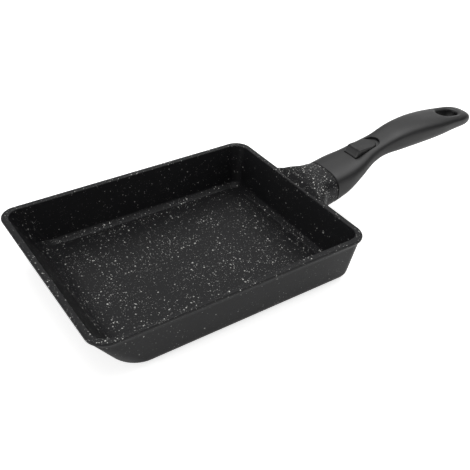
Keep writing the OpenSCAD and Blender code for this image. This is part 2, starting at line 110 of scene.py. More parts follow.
def lightStudio(values):
    world = bpy.data.worlds.new("softboxRoom")
    world.use_nodes = True
    scene.world = world
    tree = world.node_tree
    tree.nodes.clear()
    # the eye sees white all round, gloss and the surfaces see the softboxes
    rays = addNode(tree, "ShaderNodeLightPath")
    direction = addNode(tree, "ShaderNodeTexCoord")
    light = values["fill"]
    for azimuth, height, strength in values["softboxes"]:
        a, h = radians(azimuth), radians(height)
        facing = addNode(tree, "ShaderNodeVectorMath", {"operation": "DOT_PRODUCT"},
            {0: (direction, "Generated"), 1: (cos(h) * cos(a), cos(h) * sin(a), sin(h))})
        front = addNode(tree, "ShaderNodeMath", {"operation": "MAXIMUM"}, {0: (facing, "Value"), 1: 0})
        spread = addNode(tree, "ShaderNodeMath", {"operation": "POWER"}, {0: front, 1: values["softness"]})
        light = addNode(tree, "ShaderNodeMath", {"operation": "MULTIPLY_ADD"},
            {0: spread, 1: strength, 2: light})
    through = addNode(tree, "ShaderNodeMath", {"operation": "MAXIMUM"},
        {0: (rays, "Is Camera Ray"), 1: (rays, "Is Transmission Ray")})
    strength = addNode(tree, "ShaderNodeMix", {"data_type": "FLOAT"}, {0: through, 2: light, 3: 1})
    back = addNode(tree, "ShaderNodeBackground", None, {"Color": (1, 1, 1, 1), "Strength": strength})
    addNode(tree, "ShaderNodeOutputWorld", None, {"Surface": back})


def paperFloor(values):
    material = bpy.data.materials.new("whitePaperSweep")
    material.use_nodes = True
    tree = material.node_tree
    tree.nodes.clear()
    rays = addNode(tree, "ShaderNodeLightPath")
    seen = addNode(tree, "ShaderNodeMath", {"operation": "MAXIMUM"},
        {0: (rays, "Is Camera Ray"), 1: (rays, "Is Transmission Ray")})
    seen = addNode(tree, "ShaderNodeMath", {"operation": "MULTIPLY"}, {0: seen, 1: values["floorGlow"]})
    glow = addNode(tree, "ShaderNodeMath", {"operation": "MULTIPLY_ADD"},
        {0: (rays, "Is Glossy Ray"), 1: values["floorGloss"], 2: seen})
    paper = addNode(tree, "ShaderNodeBsdfDiffuse", None, {"Color": hexColour(values["paper"])})
    light = addNode(tree, "ShaderNodeEmission", None, {"Color": (1, 1, 1, 1), "Strength": glow})
    both = addNode(tree, "ShaderNodeAddShader", None, {0: paper, 1: light})
    addNode(tree, "ShaderNodeOutputMaterial", None, {"Surface": both})
    mesh = bpy.data.meshes.new("paperSweep")
    half = values["floorHalf"]
    corners = [(-half, -half, 0), (half, -half, 0), (half, half, 0), (-half, half, 0)]
    mesh.from_pydata(corners, [], [(0, 1, 2, 3)])
    mesh.materials.append(material)
    floor = bpy.data.objects.new("paperSweep", mesh)
    scene.collection.objects.link(floor)


lightStudio(studio)
paperFloor(studio)
print("camera, light and floor set")

# Finishes

noiseSpan = {"From Min": 0.3, "From Max": 0.7}  # where most of a noise texture's values lie
coat = {
    "ground": "#141416",  # carbon black in the resin
    "fleck": "#dededa",  # pale resin flung on wet from above
    "ior": 1.33,  # fluoropolymer, lower than most plastics
    "roughness": 0.4,
    "layers": [  # mm between flecks, largest radius in shares of that, share of cells, brightness
        (2.2, 0.29, 0.9, 1.15), (1.3, 0.3, 0.8, 1.0), (0.75, 0.37, 0.9, 0.36)],
    "fleckEdge": 0.06,  # softness of a fleck's edge in shares of its cell
    "dimmest": 0.25,  # brightness of the dimmest fleck of a layer, in shares of the brightest
    "warp": 0.5,  # mm by which a fleck is pulled out of round
    "warpScale": 900,  # waves per metre of what pulls it
    "steepSprayAndShade": 0.26,  # share of the flecks that lands on a steep wall; it also sets their painted shade there
    "levelSprayAndLight": 0.9,  # and on a level face, where it also sets their painted light
    "neckSprayAndLight": 1.4,  # and on the neck, where it also sets their painted light
    "shadedFleckTone": (0.15, 0.5),  # share of the flecks, and their brightness there: painted shade on steep walls
    # share of the flecks, and their brightness there: painted light on level faces and the neck
    "litFleckTone": (1.4, 1.6),
    "cluster": 22,  # mm across a dense patch
    "sparse": 0.45,  # share of the flecks between the dense patches
    "peel": 0.8,  # mm between the swells of the sprayed film
    "relief": 0.05,  # mm by which flecks and swells stand up
    "fleckRise": 0.6,  # height of a bright fleck in shares of a swell
    "satin": (-0.05, 0.07),  # by how much the roughness changes over the swells
    "neckFrom": 101,  # mm along X, past the rim
    "neckBlend": 3}  # mm over which the neck's spray sets in


# Cast aluminium, sprayed black and spattered, then baked: satin, faintly swelled, with pale flecks
def nonstickCoat(values):
    material = bpy.data.materials.new("spatteredNonstickCoat")
    material.use_nodes = True
    tree = material.node_tree
    tree.nodes.clear()
    place = addNode(tree, "ShaderNodeTexCoord")
    facing = addNode(tree, "ShaderNodeSeparateXYZ", None, {0: (place, "Normal")})
    at = addNode(tree, "ShaderNodeSeparateXYZ", None, {0: (place, "Object")})
    # spray falls from above: dense on the floor and rim, thin on steep walls, dense again on the neck; the
    # same share also paints light and shade on the flecks
    level = addNode(tree, "ShaderNodeMapRange", None,
        {"Value": (facing, "Z"), "From Min": 0.1, "From Max": 0.8,
        "To Min": values["steepSprayAndShade"], "To Max": values["levelSprayAndLight"]})
    neck = addNode(tree, "ShaderNodeMapRange", None,
        {"Value": (at, "X"), "From Min": values["neckFrom"] * mm,
        "From Max": (values["neckFrom"] + values["neckBlend"]) * mm,
        "To Min": 0, "To Max": values["neckSprayAndLight"]})
    sprayAndLight = addNode(tree, "ShaderNodeMath", {"operation": "MAXIMUM"}, {0: level, 1: neck})
    patch = addNode(tree, "ShaderNodeTexNoise", None,
        {"Vector": (place, "Object"), "Scale": 1 / (values["cluster"] * mm), "Detail": 2})
    patch = addNode(tree, "ShaderNodeMapRange", None,
        {"Value": (patch, "Fac"), "From Min": 0.35, "From Max": 0.62,
        "To Min": values["sparse"], "To Max": 1})
    sprayAndLight = addNode(tree, "ShaderNodeMath", {"operation": "MULTIPLY"}, {0: sprayAndLight, 1: patch})
    pull = addNode(tree, "ShaderNodeTexNoise", None,
        {"Vector": (place, "Object"), "Scale": values["warpScale"], "Detail": 1})
    pull = addNode(tree, "ShaderNodeVectorMath", {"operation": "SUBTRACT"},
        {0: (pull, "Color"), 1: (0.5, 0.5, 0.5)})
    pull = addNode(tree, "ShaderNodeVectorMath", {"operation": "SCALE"},
        {0: pull, "Scale": values["warp"] * mm * 2})
    pulled = addNode(tree, "ShaderNodeVectorMath", {"operation": "ADD"}, {0: (place, "Object"), 1: pull})
    # painted light and shade: flecks dimmer where the share is low, on steep walls, and brighter on level
    # faces and the neck
    thinAt, shadedFleckTone = values["shadedFleckTone"]
    denseAt, litFleckTone = values["litFleckTone"]
    fleckLightAndShade = addNode(tree, "ShaderNodeMapRange", None,
        {"Value": sprayAndLight, "From Min": thinAt, "From Max": denseAt, "To Min": shadedFleckTone, "To Max": litFleckTone})
    total = None
    for pitch, radius, share, bright in values["layers"]:
        cells = addNode(tree, "ShaderNodeTexVoronoi", None, {"Vector": pulled, "Scale": 1 / (pitch * mm)})
        chance = addNode(tree, "ShaderNodeSeparateColor", None, {0: (cells, "Color")})
        start = addNode(tree, "ShaderNodeMath", {"operation": "MULTIPLY_ADD"}, {0: sprayAndLight, 1: -share, 2: 1})
        reach = addNode(tree, "ShaderNodeMapRange", None, {"Value": (chance, "Red"), "From Min": start,
            "From Max": 1, "To Min": 0, "To Max": radius})
        inside = addNode(tree, "ShaderNodeMath", {"operation": "SUBTRACT"},
            {0: reach, 1: (cells, "Distance")})
        fleck = addNode(tree, "ShaderNodeMapRange", None,
            {"Value": inside, "From Min": 0, "From Max": values["fleckEdge"]})
        tone = addNode(tree, "ShaderNodeMapRange", None,
            {"Value": (chance, "Green"), "To Min": values["dimmest"] * bright, "To Max": bright})
        fleck = addNode(tree, "ShaderNodeMath", {"operation": "MULTIPLY"}, {0: fleck, 1: tone})
        total = fleck if total is None else addNode(tree, "ShaderNodeMath", {"operation": "MAXIMUM"},
            {0: total, 1: fleck})
    shown = addNode(tree, "ShaderNodeMath", {"operation": "MULTIPLY"}, {0: total, 1: fleckLightAndShade})
    colour = addNode(tree, "ShaderNodeMix", {"data_type": "RGBA"},  # 6, 7 and 2 are its colour sockets
        {0: shown, 6: hexColour(values["ground"]), 7: hexColour(values["fleck"])})
    swell = addNode(tree, "ShaderNodeTexNoise", None,
        {"Vector": (place, "Object"), "Scale": 1 / (values["peel"] * mm), "Detail": 2, "Roughness": 0.6})
    height = addNode(tree, "ShaderNodeMath", {"operation": "MULTIPLY_ADD"},
        {0: total, 1: values["fleckRise"], 2: (swell, "Fac")})
    bump = addNode(tree, "ShaderNodeBump", None,
        {"Height": height, "Strength": 0.35, "Distance": values["relief"] * mm})
    satin = addNode(tree, "ShaderNodeMapRange", None,
        {"Value": (swell, "Fac"), **noiseSpan,
        "To Min": values["roughness"] + values["satin"][0],
        "To Max": values["roughness"] + values["satin"][1]})
    surface = addNode(tree, "ShaderNodeBsdfPrincipled", None, {"Base Color": (colour, 2),
        "Roughness": satin, "IOR": values["ior"], "Normal": bump})
    addNode(tree, "ShaderNodeOutputMaterial", None, {"Surface": surface})
    return material


plastics = {  # colour, roughness, mm between the pits of the mould's grain, depth of the grain in mm
    "handle": ("#141415", 0.37, 0.45, 0.02),
    "cover": ("#131314", 0.42, 0.45, 0.02),
    "button": ("#151516", 0.36, 0.35, 0.012),
    "carrier": ("#3a3b3e", 0.35, 0.6, 0.008)}
plasticIor = 1.55  # nylon and acetal lie close to it
flowMark = 14  # mm across the faint patches where the melt ran
plasticPolish = 0.035  # by how much the roughness changes over them
plasticShade = (0.86, 1.12)  # share of its colour in the pits of the grain and between them


# Glass-filled nylon and acetal, moulded in spark-eroded steel: an even matt grain with soft highlights
def mouldedPlastic(name, values):
    tone, roughness, grainPitch, depth = values
    material = bpy.data.materials.new(name)
    material.use_nodes = True
    tree = material.node_tree
    tree.nodes.clear()
    place = addNode(tree, "ShaderNodeTexCoord")
    grain = addNode(tree, "ShaderNodeTexNoise", None,
        {"Vector": (place, "Object"), "Scale": 1 / (grainPitch * mm), "Detail": 3, "Roughness": 0.65})
    flow = addNode(tree, "ShaderNodeTexNoise", None,
        {"Vector": (place, "Object"), "Scale": 1 / (flowMark * mm), "Detail": 2, "Distortion": 0.6})
    polish = addNode(tree, "ShaderNodeMapRange", None,
        {"Value": (flow, "Fac"), **noiseSpan,
        "To Min": roughness - plasticPolish, "To Max": roughness + plasticPolish})
    shade = addNode(tree, "ShaderNodeMapRange", None,
        {"Value": (grain, "Fac"), **noiseSpan, "To Min": plasticShade[0], "To Max": plasticShade[1]})
    colour = addNode(tree, "ShaderNodeVectorMath", {"operation": "SCALE"},
        {0: hexColour(tone)[:3], "Scale": shade})
    bump = addNode(tree, "ShaderNodeBump", None,
        {"Height": (grain, "Fac"), "Strength": 0.5, "Distance": depth * mm})
    surface = addNode(tree, "ShaderNodeBsdfPrincipled", None,
        {"Base Color": colour, "Roughness": polish, "IOR": plasticIor, "Normal": bump})
    addNode(tree, "ShaderNodeOutputMaterial", None, {"Surface": surface})
    return material


metals = {  # colour, roughness, mm between the lines of its finish, how far a line is stretched
    "plate": ("#b9babc", 0.32, 0.35, 60),
    "casting": ("#b4b5b6", 0.5, 0.9, 2),
    "sleeve": ("#a9abad", 0.34, 0.5, 20),
    "spring": ("#b3b4b7", 0.24, 0.4, 8),
    "zinc": ("#b0b4b8", 0.3, 0.5, 1)}
stainSize = 11  # mm across the faint patches of tarnish
lineDepth = 0.02  # mm
metalSatin = (-0.08, 0.1)  # by how much the roughness changes over the lines
metalShade = (0.9, 1.05)  # share of its colour over the patches


# Rolled, cast and plated metal: the lines of the tool catch the light along one way
def workedMetal(name, values):
    tone, roughness, linePitch, stretch = values
    material = bpy.data.materials.new(name)
    material.use_nodes = True
    tree = material.node_tree
    tree.nodes.clear()
    place = addNode(tree, "ShaderNodeTexCoord")
    drawn = addNode(tree, "ShaderNodeMapping", None,
        {"Vector": (place, "Object"), "Scale": (1 / stretch, 1, 1)})
    lines = addNode(tree, "ShaderNodeTexNoise", None,
        {"Vector": drawn, "Scale": 1 / (linePitch * mm), "Detail": 3, "Roughness": 0.6})
    stain = addNode(tree, "ShaderNodeTexNoise", None,
        {"Vector": (place, "Object"), "Scale": 1 / (stainSize * mm), "Detail": 3})
    satin = addNode(tree, "ShaderNodeMapRange", None,
        {"Value": (lines, "Fac"), **noiseSpan,
        "To Min": roughness + metalSatin[0], "To Max": roughness + metalSatin[1]})
    shade = addNode(tree, "ShaderNodeMapRange", None,
        {"Value": (stain, "Fac"), **noiseSpan, "To Min": metalShade[0], "To Max": metalShade[1]})
    colour = addNode(tree, "ShaderNodeVectorMath", {"operation": "SCALE"},
        {0: hexColour(tone)[:3], "Scale": shade})
    bump = addNode(tree, "ShaderNodeBump", None,
        {"Height": (lines, "Fac"), "Strength": 0.3, "Distance": lineDepth * mm})
    surface = addNode(tree, "ShaderNodeBsdfPrincipled", None,
        {"Base Color": colour, "Metallic": 1.0, "Roughness": satin, "Normal": bump})
    addNode(tree, "ShaderNodeOutputMaterial", None, {"Surface": surface})
    return material


coatFinish = nonstickCoat(coat)
handlePlastic = mouldedPlastic("mouldedNylon", plastics["handle"])
coverPlastic = mouldedPlastic("mouldedNylonCover", plastics["cover"])
buttonPlastic = mouldedPlastic("mouldedAcetal", plastics["button"])
carrierPlastic = mouldedPlastic("mouldedAcetalSlide", plastics["carrier"])
plateSteel = workedMetal("brushedStainlessSteel", metals["plate"])
bareCasting = workedMetal("machinedCastAluminium", metals["casting"])
sleeveSteel = workedMetal("drawnSteelTube", metals["sleeve"])
springSteel = workedMetal("springSteelStrip", metals["spring"])
zincSteel = workedMetal("zincPlatedSteel", metals["zinc"])
print("finishes made")

# Forms shared by the pieces, in millimetres until the mesh is made

seam = {"x": 121, "height": 30, "tilt": radians(12)}  # the tilt is of the slide and the tongue


def slopeAt(knots, column, i):
    a, b = max(i - 1, 0), min(i + 1, len(knots) - 1)
    return (knots[b][column] - knots[a][column]) / (knots[b][0] - knots[a][0])


# Smooth curve through rows of knots, whose first number is the place
def curveAt(knots, column, x):
    i = max(0, min(len(knots) - 2, sum(knot[0] <= x for knot in knots) - 1))
    span = knots[i + 1][0] - knots[i][0]
    t = (x - knots[i][0]) / span
    return ((2 * t ** 3 - 3 * t ** 2 + 1) * knots[i][column] + (t ** 3 - 2 * t ** 2 + t) * span
        * slopeAt(knots, column, i) + (3 * t ** 2 - 2 * t ** 3) * knots[i + 1][column]
        + (t ** 3 - t ** 2) * span * slopeAt(knots, column, i + 1))


# Closed ring, squarer above its middle than below, with its points evenly spread along its length
def eggRing(top, bottom, width, sides=96, upper=3, lower=2.1):
    fine = 1440
    points = []
    for j in range(fine + 1):
        a = 2 * pi * j / fine
        power = 2 / (upper if sin(a) >= 0 else lower)
        u = abs(cos(a)) ** power * (1 if cos(a) >= 0 else -1)
        w = abs(sin(a)) ** power * (1 if sin(a) >= 0 else -1)
        points.append(Vector(((top[0] + bottom[0]) / 2 + w * (top[0] - bottom[0]) / 2, u * width / 2,
            (top[1] + bottom[1]) / 2 + w * (top[1] - bottom[1]) / 2)))
    ring = []
    for quarter in range(4):  # each quarter keeps its ends, so crests stay on the rings' own corners
        part = points[quarter * fine // 4:(quarter + 1) * fine // 4 + 1]
        lengths = [0]
        for a, b in zip(part, part[1:]):
            lengths.append(lengths[-1] + (b - a).length)
        k = 0
        for s in range(sides // 4):
            goal = lengths[-1] * s * 4 / sides
            while lengths[k + 1] < goal:
                k += 1
            share = (goal - lengths[k]) / max(lengths[k + 1] - lengths[k], 1e-9)
            ring.append(part[k].lerp(part[k + 1], share))
    return ring


sameSpot = 1e-5  # mm within which two points of a new mesh are one
carveWeld = 2e-4  # mm, the same after a Boolean


# Mesh from rings of equal length, closed at both ends
def skinMesh(name, rings):
    count = len(rings[0])
    points = [p for ring in rings for p in ring]
    faces = [tuple(range(count)), tuple(reversed(range((len(rings) - 1) * count, len(rings) * count)))]
    for i in range(len(rings) - 1):
        for j in range(count):
            k = (j + 1) % count
            faces.append((i * count + j, (i + 1) * count + j, (i + 1) * count + k, i * count + k))
    mesh = bpy.data.meshes.new(name)
    mesh.from_pydata(points, [], faces)
    shape = bmesh.new()
    shape.from_mesh(mesh)
    bmesh.ops.remove_doubles(shape, verts=shape.verts, dist=sameSpot)
    bmesh.ops.recalc_face_normals(shape, faces=shape.faces)
    shape.to_mesh(mesh)
    shape.free()
    piece = bpy.data.objects.new(name, mesh)
    scene.collection.objects.link(piece)
    return piece


def onSlide(s, y, h):
    c, n = cos(seam["tilt"]), sin(seam["tilt"])
    return (seam["x"] + s * c - h * n, y, seam["height"] + s * n + h * c)


slideUp = Vector((-sin(seam["tilt"]), 0, cos(seam["tilt"])))


# Box in the frame of the slide, centred across the pan
def slideBar(start, end, half, low, high):
    return skinMesh("bar", [[onSlide(s, y, h) for y, h in
        ((-half, low), (half, low), (half, high), (-half, high))] for s in (start, end)])


# Round bar between two points
def roundBar(a, b, radius, sides=48):
    a, b = Vector(a), Vector(b)
    turn = (b - a).to_track_quat("Z", "Y").to_matrix()
    circle = [turn @ Vector((radius * cos(2 * pi * j / sides), radius * sin(2 * pi * j / sides), 0))
        for j in range(sides)]
    return skinMesh("roundBar", [[a + p for p in circle], [b + p for p in circle]])


def slidePost(s, y, low, high, radius):
    return roundBar(onSlide(s, y, low), onSlide(s, y, high), radius)


def slideRod(start, end, rise, radius):
    return roundBar(onSlide(start, 0, rise), onSlide(end, 0, rise), radius)


# Cuts, joins or meets a piece with others, which are used up
def carve(piece, tools, operation="DIFFERENCE"):
    for tool in tools:
        step = piece.modifiers.new("carve", "BOOLEAN")
        step.operation, step.object, step.solver = operation, tool, "EXACT"
        graph = bpy.context.evaluated_depsgraph_get()
        mesh = bpy.data.meshes.new_from_object(piece.evaluated_get(graph))
        piece.modifiers.clear()
        shape = bmesh.new()
        shape.from_mesh(mesh)
        bmesh.ops.remove_doubles(shape, verts=shape.verts, dist=carveWeld)
        bmesh.ops.dissolve_degenerate(shape, edges=shape.edges, dist=carveWeld)
        shape.to_mesh(mesh)
        shape.free()
        piece.data = mesh
        bpy.data.objects.remove(tool)
    return piece


def finishPiece(piece, name, body, materials, nodes=(), sharp=32):
    piece.name = piece.data.name = name
    piece.data.transform(Matrix.Scale(mm, 4))
    piece.data.materials.clear()
    for material in materials:
        piece.data.materials.append(material)
    piece.data.shade_smooth()
    piece.data.set_sharp_from_angle(angle=radians(sharp))
    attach(piece, body)
    if nodes:
        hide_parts(*nodes)
    return piece


# The pan

pan = {
    "rimLength": 198, "rimWidth": 150, "height": 37, "corner": 12, "lipOverhang": 1.9, "lipThickness": 2.8,
    "wall": 2.5, "draft": 7.5, "slope": 30, "floor": 3.7, "heel": 9, "fillet": 5, "slopeHeel": 17,
    "slopeFillet": 22, "slopeCorner": 10, "innerRound": 0.6, "footBand": 3, "footRound": 0.9,
    "lipTurn": 38,  # how far the lip rolls under, in degrees
    "slopeLipTurn": 78,  # the same at the sloping end
    "leanFrom": 1,  # mm below the rim, where the inside begins to lean
    "lipSquare": 0.55,  # the lip's upper round, from 0 for a square edge to 1 for a circle
    "cornerEase": 0.6,  # how much the corner's radius falls for each mm inwards
    "leastCorner": 3}


def wallProfile(p, draft, heel, fillet, turn, steps=14):
    lean = radians(draft)
    lip = p["lipThickness"] / 2
    inner = p["lipOverhang"] + p["wall"]
    heelTop = heel * (1 - sin(lean))
    filletTop = p["floor"] + fillet * (1 - sin(lean))
    heelFoot = p["lipOverhang"] + (p["height"] - p["lipThickness"] - heelTop) * tan(lean)
    filletFoot = inner + (p["height"] - p["leanFrom"] - filletTop) * tan(lean)
    arc = [s / steps * (pi / 2 - lean) for s in range(steps + 1)]
    outline = [(heelFoot + heel * cos(lean) - heel * sin(a), heel * (1 - cos(a))) for a in arc]
    end = radians(turn)
    cove = (p["lipOverhang"] - lip * (1 - cos(end))) / (1 - cos(end))  # radius of the hollow under the lip
    ledge = p["height"] - lip - lip * sin(end)
    for i in range(6):
        a = end * i / 6
        outline.append((p["lipOverhang"] - cove * (1 - cos(a)), ledge - cove * (sin(end) - sin(a))))
    roll = [-end + (pi / 2 + end) * i / 12 for i in range(13)]
    for a in roll:  # a circle below, and above it a squarer round
        out, above = max(cos(a), 0), sin(a)
        if a > 0:
            out, above = out ** p["lipSquare"], above ** p["lipSquare"]
        outline.append((lip * (1 - out), p["height"] - lip + lip * above))
    top = p["innerRound"]
    outline += [(inner - top + top * sin(radians(a)), p["height"] - top + top * cos(radians(a)))
        for a in (0, 18, 36, 54, 72)]
    outline.append((inner, p["height"] - top))
    if fillet > p["fillet"]:  # the long sweep at the sloping end
        outline += [(filletFoot + fillet * cos(lean) - fillet * sin(a), p["floor"] + fillet * (1 - cos(a)))
            for a in reversed(arc)]
        return outline
    # a narrow flat at 45 degrees along the foot of the steep walls, with a small round at each edge
    foot = Vector((filletFoot + (filletTop - p["floor"]) * tan(lean), p["floor"]))
    rise, run = Vector((-sin(lean), cos(lean))), Vector((1, 0))
    high, low = foot + p["footBand"] * rise, foot + p["footBand"] * run
    along = (low - high).normalized()
    bends = ((high, rise, along), (low, -along, run))
    for k, (corner, before, after) in enumerate(bends):
        for i in range(steps // 2 + k):
            t = i / (steps // 2 - 1 + k)
            point = corner + p["footRound"] * ((1 - t) ** 2 * before + t ** 2 * after)
            outline.append((point.x, point.y))
    return outline


# Rounded rectangle that follows the steep wall on three sides and the sloping one away from the handle
def trayRing(p, steep, sloped, radius, cornerSteps=24):
    ring = []
    gain = p["slopeCorner"] * max(0, 1 - sloped[1] / (p["height"] - p["lipThickness"]))
    for turn in range(4):
        far, side = turn in (1, 2), 1 if turn < 2 else -1
        r = radius + (gain if far else 0)
        for s in range(cornerSteps + 1):
            a = pi / 2 * (turn + s / cornerSteps)
            share = max(0, -cos(a)) ** 2
            x = -p["rimLength"] / 2 + sloped[0] + r if far else p["rimLength"] / 2 - steep[0] - r
            ring.append((x + r * cos(a), side * (p["rimWidth"] / 2 - steep[0] - r) + r * sin(a),
                steep[1] * (1 - share) + sloped[1] * share))
    return ring


neckKnots = [  # from the seam, width, top and underside from the seam's height
    (-25.2, 68, 6.4, -21), (-21.8, 66, 9.8, -20.4), (-19, 56, 11.4, -19.8), (-16, 49.2, 12.9, -19.2),
    (-10.5, 39.5, 13.7, -16.2), (-9.3, 38.4, 13.7, -15.6), (0, 36.3, 13.3, -13.2)]
neck = {"wallX": -25.15, "rootDrop": 28, "steps": 56, "sides": 112, "roll": 0.5}
tongue = {"root": -4, "length": 30, "half": 7.7, "low": 0.7, "high": 5.7, "edge": 1, "notchAt": 17,
    "notchHalf": 1.5, "notchDepth": 1.1, "notchSide": 5.8}
plate = {"length": 146, "width": 100, "corner": 12, "thickness": 0.8, "clearance": 0.1, "soft": 0.15}
bareHeights = (0.5, 1)  # mm, between which a face that looks down above the plate is machined bare
beyond = 1  # mm by which a cutting tool stands proud of what it cuts


def neckRings(n, p):
    rings = []
    rootX = n["wallX"] - n["rootDrop"] * tan(radians(p["draft"]))
    turns = [(i / n["steps"], 0) for i in range(n["steps"])]
    turns += [(1, radians(a)) for a in (0, 22.5, 45, 67.5, 90)]
    for s, a in turns:  # along the neck, then round its end at the seam
        trim = n["roll"] * (1 - cos(a))
        x = n["wallX"] * (1 - s)
        top, low = curveAt(neckKnots, 2, x) - trim, curveAt(neckKnots, 3, x) + trim
        back = -n["roll"] * s * (1 - sin(a))
        topX = x + back
        lowX = rootX * (1 - s) + back
        rings.append(eggRing((seam["x"] + topX, seam["height"] + top),
            (seam["x"] + lowX, seam["height"] + low), curveAt(neckKnots, 1, x) - 2 * trim, n["sides"]))
    return rings


def plateOutline(values, grow, height, cornerSteps=12):
    corner = values["corner"] + grow
    ring = []
    for turn in range(4):
        a0 = pi / 2 * turn
        cx = (values["length"] / 2 + grow - corner) * (1 if turn in (0, 3) else -1)
        cy = (values["width"] / 2 + grow - corner) * (1 if turn < 2 else -1)
        for s in range(cornerSteps + 1):
            a = a0 + pi / 2 * s / cornerSteps
            ring.append((cx + corner * cos(a), cy + corner * sin(a), height))
    return ring


def castPan(p):
    steep = wallProfile(p, p["draft"], p["heel"], p["fillet"], p["lipTurn"])
    sloped = wallProfile(p, p["slope"], p["slopeHeel"], p["slopeFillet"], p["slopeLipTurn"])
    tray = skinMesh("panTray", [
        trayRing(p, a, b, max(p["corner"] - p["cornerEase"] * a[0], p["leastCorner"]))
        for a, b in zip(steep, sloped)])
    t = tongue
    side = [(t["root"], t["low"]), (t["length"] - t["edge"], t["low"]), (t["length"], t["low"] + t["edge"]),
        (t["length"], t["high"] - t["edge"]), (t["length"] - t["edge"], t["high"]), (t["root"], t["high"])]
    blade = skinMesh("tongue", [[onSlide(s, y, h) for s, h in side] for y in (-t["half"], t["half"])])
    carve(blade, [slideBar(t["notchAt"] - t["notchHalf"], t["notchAt"] + t["notchHalf"], t["notchSide"],
        t["high"] - t["notchDepth"], t["high"] + beyond)])
    carve(tray, [skinMesh("neck", neckRings(neck, p)), blade], "UNION")
    carve(tray, [skinMesh("recess",
        [plateOutline(plate, plate["clearance"], z) for z in (-2 * beyond, plate["thickness"])])])
    finishPiece(tray, "castPan", "pan", [coatFinish, bareCasting], ["pan_body"])
    low, high = bareHeights
    for face in tray.data.polygons:
        spot = face.center
        inside = abs(spot.x) < plate["length"] / 2 * mm and abs(spot.y) < plate["width"] / 2 * mm
        level = low * mm < spot.z < high * mm and face.normal.z < -0.9
        face.material_index = 1 if inside and level else 0
    return tray


castPan(pan)
print("pan cast")

# Base plate, with rows of holes from one set of nodes

holes = {"across": 19, "along": 27, "pitch": 4.9, "diameter": 2.6, "sides": 20, "punchLength": 4.8}


def perforatedPlate(values, pattern):
    blank = skinMesh("basePlate", [plateOutline(values, grow, z) for grow, z in
        ((-values["soft"], 0), (0, values["soft"]), (0, values["thickness"]))])
    tree = bpy.data.node_groups.new("perforations", "GeometryNodeTree")
    tree.interface.new_socket("Geometry", in_out="INPUT", socket_type="NodeSocketGeometry")
    sockets = {name: tree.interface.new_socket(name, in_out="INPUT", socket_type=kind).identifier
        for name, kind in (("Pitch", "NodeSocketFloat"), ("Hole Diameter", "NodeSocketFloat"),
            ("Punch Length", "NodeSocketFloat"), ("Hole Sides", "NodeSocketInt"),
            ("Columns", "NodeSocketInt"), ("Rows", "NodeSocketInt"), ("Finish", "NodeSocketMaterial"))}
    tree.interface.new_socket("Geometry", in_out="OUTPUT", socket_type="NodeSocketGeometry")
    given = addNode(tree, "NodeGroupInput")
    spans = [addNode(tree, "ShaderNodeMath", {"operation": "SUBTRACT"}, {0: (given, count), 1: 1})
        for count in ("Columns", "Rows")]
    reach = [addNode(tree, "ShaderNodeMath", {"operation": "MULTIPLY"}, {0: span, 1: (given, "Pitch")})
        for span in spans]
    grid = addNode(tree, "GeometryNodeMeshGrid", None, {"Size X": reach[0], "Size Y": reach[1],
        "Vertices X": (given, "Columns"), "Vertices Y": (given, "Rows")})
    radius = addNode(tree, "ShaderNodeMath", {"operation": "MULTIPLY"}, {0: (given, "Hole Diameter"), 1: 0.5})
    punch = addNode(tree, "GeometryNodeMeshCylinder", None, {"Vertices": (given, "Hole Sides"),
        "Radius": radius, "Depth": (given, "Punch Length")})
    index = addNode(tree, "GeometryNodeInputIndex")
    odd = addNode(tree, "ShaderNodeMath", {"operation": "MODULO"}, {0: index, 1: 2})
    punches = addNode(tree, "GeometryNodeInstanceOnPoints", None,
        {"Points": (grid, "Mesh"), "Selection": odd, "Instance": (punch, "Mesh")})
    solid = addNode(tree, "GeometryNodeRealizeInstances", None, {"Geometry": punches})
    cut = addNode(tree, "GeometryNodeMeshBoolean", {"operation": "DIFFERENCE"},
        {"Mesh 1": (given, "Geometry")})
    tree.links.new(solid.outputs[0], cut.inputs["Mesh 2"])
    real = addNode(tree, "GeometryNodeRealizeInstances", None, {"Geometry": cut})
    dressed = addNode(tree, "GeometryNodeSetMaterial", None,
        {"Geometry": real, "Material": (given, "Finish")})
    addNode(tree, "NodeGroupOutput", None, {"Geometry": dressed})
    step = blank.modifiers.new("perforations", "NODES")
    step.node_group = tree
    for name, value in (("Pitch", pattern["pitch"]), ("Hole Diameter", pattern["diameter"]),
            ("Punch Length", pattern["punchLength"]), ("Hole Sides", pattern["sides"]),
            ("Columns", pattern["along"]), ("Rows", pattern["across"]), ("Finish", plateSteel)):
        step[sockets[name]] = value
    graph = bpy.context.evaluated_depsgraph_get()
    mesh = bpy.data.meshes.new_from_object(blank.evaluated_get(graph))
    blank.modifiers.clear()
    blank.data = mesh
    finishPiece(blank, "basePlate", "pan", [plateSteel], ["induction_plate"])


perforatedPlate(plate, holes)
print("base plate pierced")

# The handle

handleKnots = [  # from the seam, width, height, rise of the centre
    (0, 36.7, 26.8, 0), (13, 36.1, 23.6, 3.8), (26, 30.9, 18.3, 8.8), (39, 24.5, 14.8, 14.7),
    (51, 22.4, 13.7, 18), (69.5, 25.95, 17.85, 20.8), (88, 28.5, 18.8, 22), (107.25, 29.05, 16.8, 22.15),
    (126.5, 26, 13.4, 21.9), (148.5, 22.4, 10.1, 20.65)]
handle = {"length": 148.44, "gap": 0.4, "soft": 0.6, "endRadius": 14.84, "endTaper": 0.39,
    "endNarrowing": 0.5, "steps": 110,
    "endTurns": [7, 14, 21, 28, 35, 42, 49, 55, 61, 66, 71, 75, 79, 82, 84.5, 86.5, 88, 89]}
hangHole = {"at": 126.5, "rise": 21, "length": 20.5, "width": 11, "dishWidth": 3.2, "dishDepth": 2.3,
    "underWidth": 1.4, "underDepth": 1.2, "cutDepth": 9}
